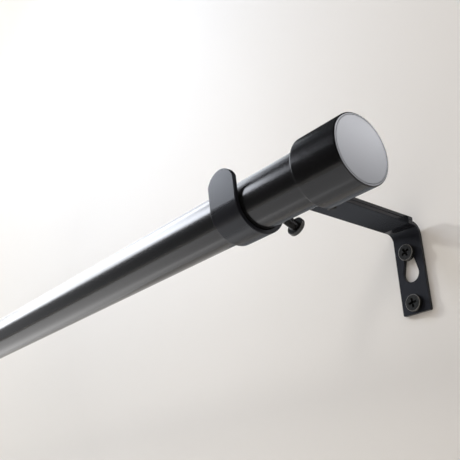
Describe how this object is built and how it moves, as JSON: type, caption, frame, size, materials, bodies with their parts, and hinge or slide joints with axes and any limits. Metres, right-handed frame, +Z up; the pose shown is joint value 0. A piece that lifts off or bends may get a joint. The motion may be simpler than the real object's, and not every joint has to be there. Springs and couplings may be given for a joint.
{
  "type": "extendable curtain rod",
  "caption": "Telescoping round curtain rod with drum end caps, carried in open hooks on adjustable wall brackets with keyhole plates and clamp screws.",
  "frame": {"origin": "on the wall face, midway between the right bracket's two wall screws", "axes": "+X along the rod towards its right end as seen from the room, +Y into the wall, +Z up"},
  "size_m": [0.8336, 0.1661, 0.0573],
  "materials": {
    "rod_coat": "satin black powder coat on steel tube",
    "cap_coat": "satin black powder coat on drawn steel",
    "bracket_coat": "satin black powder coat on bent steel strip",
    "screw_black": "semi-gloss black on steel fasteners",
    "moulded_plastic": "matt black moulded plastic"
  },
  "bodies": {
    "right_bracket": {"wall_bracket_right": "bracket_coat", "wall_screws_right": "screw_black", "lock_screw_right": "screw_black", "lock_washer_right": "screw_black"},
    "right_holder": {"rod_holder_right": "bracket_coat"},
    "right_clamp": {"clamp_screw_right": "screw_black"},
    "outer_rod": {"outer_tube": "rod_coat", "mouth_sleeve": "moulded_plastic"},
    "right_cap": {"end_cap_right": "cap_coat", "cap_liner_right": "moulded_plastic"},
    "inner_rod": {"inner_tube": "rod_coat", "inner_glide": "moulded_plastic"},
    "left_cap": {"end_cap_left": "cap_coat", "cap_liner_left": "moulded_plastic"},
    "left_holder": {"rod_holder_left": "bracket_coat"},
    "left_clamp": {"clamp_screw_left": "screw_black"},
    "left_bracket": {"wall_bracket_left": "bracket_coat", "wall_screws_left": "screw_black", "lock_screw_left": "screw_black", "lock_washer_left": "screw_black"}
  },
  "joints": [
    {"name": "right_projection", "type": "slide", "parent": "right_bracket", "child": "right_holder", "axis": [0, -1, 0], "range_m": [-0.005, 0.035]},
    {"name": "rod_slide", "type": "slide", "parent": "right_holder", "child": "outer_rod", "axis": [1, 0, 0], "range_m": [-0.034, 0.034]},
    {"name": "rod_extension", "type": "slide", "parent": "outer_rod", "child": "inner_rod", "axis": [-1, 0, 0], "range_m": [-0.122, 0.385]},
    {"name": "left_bracket_slide", "type": "slide", "parent": "inner_rod", "child": "left_holder", "axis": [1, 0, 0], "range_m": [-0.034, 0.02]},
    {"name": "left_projection", "type": "slide", "parent": "left_holder", "child": "left_bracket", "axis": [0, 1, 0], "range_m": [-0.005, 0.035]},
    {"name": "right_clamp_screw", "type": "slide", "parent": "right_holder", "child": "right_clamp", "axis": [0, 0.9397, -0.342], "range_m": [0, 0.004]},
    {"name": "left_clamp_screw", "type": "slide", "parent": "left_holder", "child": "left_clamp", "axis": [0, 0.9397, -0.342], "range_m": [0, 0.004]},
    {"name": "right_cap_pull", "type": "slide", "parent": "outer_rod", "child": "right_cap", "axis": [1, 0, 0], "range_m": [0, 0.02]},
    {"name": "left_cap_pull", "type": "slide", "parent": "inner_rod", "child": "left_cap", "axis": [-1, 0, 0], "range_m": [0, 0.02]}
  ],
  "couplings": [
    {"joint": "left_projection", "follows": "right_projection", "ratio": 1}
  ]
}
